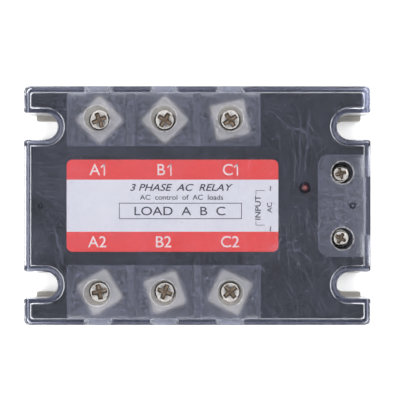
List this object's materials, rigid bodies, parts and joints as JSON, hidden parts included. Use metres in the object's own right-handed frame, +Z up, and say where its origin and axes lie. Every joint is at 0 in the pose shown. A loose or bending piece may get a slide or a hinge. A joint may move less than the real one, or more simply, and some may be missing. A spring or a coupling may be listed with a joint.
{
  "type": "three-phase solid state relay",
  "caption": "Flat rectangular relay block with screw terminals in side pockets, a clear notched cover and a slotted metal base.",
  "frame": {"origin": "centre of the base plate underside", "axes": "+X along the length towards the input terminals, +Y towards the first row of power terminals, +Z up out of the panel"},
  "size_m": [0.105, 0.0724, 0.033],
  "materials": {
    "base_metal": "milled",
    "housing": "satin",
    "clear": "clear moulded plastic, frosted over the terminals",
    "label": "printed film",
    "led": "clear",
    "board": "solder mask",
    "ceramic": "fired",
    "chip": "polished",
    "copper": "tinned",
    "nickel": "plated",
    "screw_steel": "plated",
    "black_package": "moulded",
    "film_box": "moulded",
    "resistor": "lacquered",
    "varistor": "dipped",
    "can": "sleeved"
  },
  "bodies": {
    "case": {"base_plate": "base_metal", "housing": "housing", "label": "label", "led": "led", "control_board": "board", "substrate_a": "ceramic", "substrate_b": "ceramic", "substrate_c": "ceramic", "thyristor_a1": "chip", "thyristor_b1": "chip", "thyristor_c1": "chip", "thyristor_a2": "chip", "thyristor_b2": "chip", "thyristor_c2": "chip", "terminal_a1": "copper", "terminal_b1": "copper", "terminal_c1": "copper", "terminal_a2": "copper", "terminal_b2": "copper", "terminal_c2": "copper", "control_tab_1": "copper", "control_tab_2": "copper", "optocoupler_a": "black_package", "optocoupler_b": "black_package", "optocoupler_c": "black_package", "snubber_capacitor_a": "film_box", "snubber_capacitor_b": "film_box", "snubber_capacitor_c": "film_box", "snubber_resistor_a": "resistor", "snubber_resistor_b": "resistor", "snubber_resistor_c": "resistor", "varistor_a": "varistor", "varistor_b": "varistor", "varistor_c": "varistor", "input_rectifier": "black_package", "input_capacitor": "can", "gate_pins": "copper", "power_nuts": "screw_steel", "control_nuts": "screw_steel", "fixing_screws": "screw_steel"},
    "cover": {"clear_cover": "clear"},
    "clamp_body_a1": {"clamp_a1": "nickel"},
    "screw_body_a1": {"screw_a1": "screw_steel"},
    "clamp_body_b1": {"clamp_b1": "nickel"},
    "screw_body_b1": {"screw_b1": "screw_steel"},
    "clamp_body_c1": {"clamp_c1": "nickel"},
    "screw_body_c1": {"screw_c1": "screw_steel"},
    "clamp_body_a2": {"clamp_a2": "nickel"},
    "screw_body_a2": {"screw_a2": "screw_steel"},
    "clamp_body_b2": {"clamp_b2": "nickel"},
    "screw_body_b2": {"screw_b2": "screw_steel"},
    "clamp_body_c2": {"clamp_c2": "nickel"},
    "screw_body_c2": {"screw_c2": "screw_steel"},
    "washer_body_1": {"control_washer_1": "nickel"},
    "control_screw_body_1": {"control_screw_1": "screw_steel"},
    "washer_body_2": {"control_washer_2": "nickel"},
    "control_screw_body_2": {"control_screw_2": "screw_steel"}
  },
  "joints": [
    {"name": "cover_lift", "type": "slide", "parent": "case", "child": "cover", "axis": [0, 0, 1], "range_m": [0, 0.02]},
    {"name": "clamp_rise_a1", "type": "slide", "parent": "case", "child": "clamp_body_a1", "axis": [0, 0, 1], "range_m": [0, 0.0028]},
    {"name": "screw_turn_a1", "type": "hinge", "parent": "clamp_body_a1", "child": "screw_body_a1", "pos_m": [-0.0304, 0.0265, 0.0197], "axis": [0, 0, 1], "range_deg": [0, 1440.1]},
    {"name": "clamp_rise_b1", "type": "slide", "parent": "case", "child": "clamp_body_b1", "axis": [0, 0, 1], "range_m": [0, 0.0028]},
    {"name": "screw_turn_b1", "type": "hinge", "parent": "clamp_body_b1", "child": "screw_body_b1", "pos_m": [-0.0102, 0.0265, 0.0197], "axis": [0, 0, 1], "range_deg": [0, 1440.1]},
    {"name": "clamp_rise_c1", "type": "slide", "parent": "case", "child": "clamp_body_c1", "axis": [0, 0, 1], "range_m": [0, 0.0028]},
    {"name": "screw_turn_c1", "type": "hinge", "parent": "clamp_body_c1", "child": "screw_body_c1", "pos_m": [0.01, 0.0265, 0.0197], "axis": [0, 0, 1], "range_deg": [0, 1440.1]},
    {"name": "clamp_rise_a2", "type": "slide", "parent": "case", "child": "clamp_body_a2", "axis": [0, 0, 1], "range_m": [0, 0.0028]},
    {"name": "screw_turn_a2", "type": "hinge", "parent": "clamp_body_a2", "child": "screw_body_a2", "pos_m": [-0.0304, -0.0265, 0.0197], "axis": [0, 0, 1], "range_deg": [0, 1440.1]},
    {"name": "clamp_rise_b2", "type": "slide", "parent": "case", "child": "clamp_body_b2", "axis": [0, 0, 1], "range_m": [0, 0.0028]},
    {"name": "screw_turn_b2", "type": "hinge", "parent": "clamp_body_b2", "child": "screw_body_b2", "pos_m": [-0.0102, -0.0265, 0.0197], "axis": [0, 0, 1], "range_deg": [0, 1440.1]},
    {"name": "clamp_rise_c2", "type": "slide", "parent": "case", "child": "clamp_body_c2", "axis": [0, 0, 1], "range_m": [0, 0.0028]},
    {"name": "screw_turn_c2", "type": "hinge", "parent": "clamp_body_c2", "child": "screw_body_c2", "pos_m": [0.01, -0.0265, 0.0197], "axis": [0, 0, 1], "range_deg": [0, 1440.1]},
    {"name": "washer_rise_1", "type": "slide", "parent": "case", "child": "washer_body_1", "axis": [0, 0, 1], "range_m": [0, 0.0025]},
    {"name": "control_screw_turn_1", "type": "hinge", "parent": "washer_body_1", "child": "control_screw_body_1", "pos_m": [0.044, 0.01, 0.0212], "axis": [0, 0, 1], "range_deg": [0, 1800.1]},
    {"name": "washer_rise_2", "type": "slide", "parent": "case", "child": "washer_body_2", "axis": [0, 0, 1], "range_m": [0, 0.0025]},
    {"name": "control_screw_turn_2", "type": "hinge", "parent": "washer_body_2", "child": "control_screw_body_2", "pos_m": [0.044, -0.01, 0.0212], "axis": [0, 0, 1], "range_deg": [0, 1800.1]}
  ],
  "couplings": [
    {"joint": "screw_turn_a1", "follows": "clamp_rise_a1", "rad_per_m": 8976},
    {"joint": "screw_turn_b1", "follows": "clamp_rise_b1", "rad_per_m": 8976},
    {"joint": "screw_turn_c1", "follows": "clamp_rise_c1", "rad_per_m": 8976},
    {"joint": "screw_turn_a2", "follows": "clamp_rise_a2", "rad_per_m": 8976},
    {"joint": "screw_turn_b2", "follows": "clamp_rise_b2", "rad_per_m": 8976},
    {"joint": "screw_turn_c2", "follows": "clamp_rise_c2", "rad_per_m": 8976},
    {"joint": "control_screw_turn_1", "follows": "washer_rise_1", "rad_per_m": 12566},
    {"joint": "control_screw_turn_2", "follows": "washer_rise_2", "rad_per_m": 12566}
  ]
}
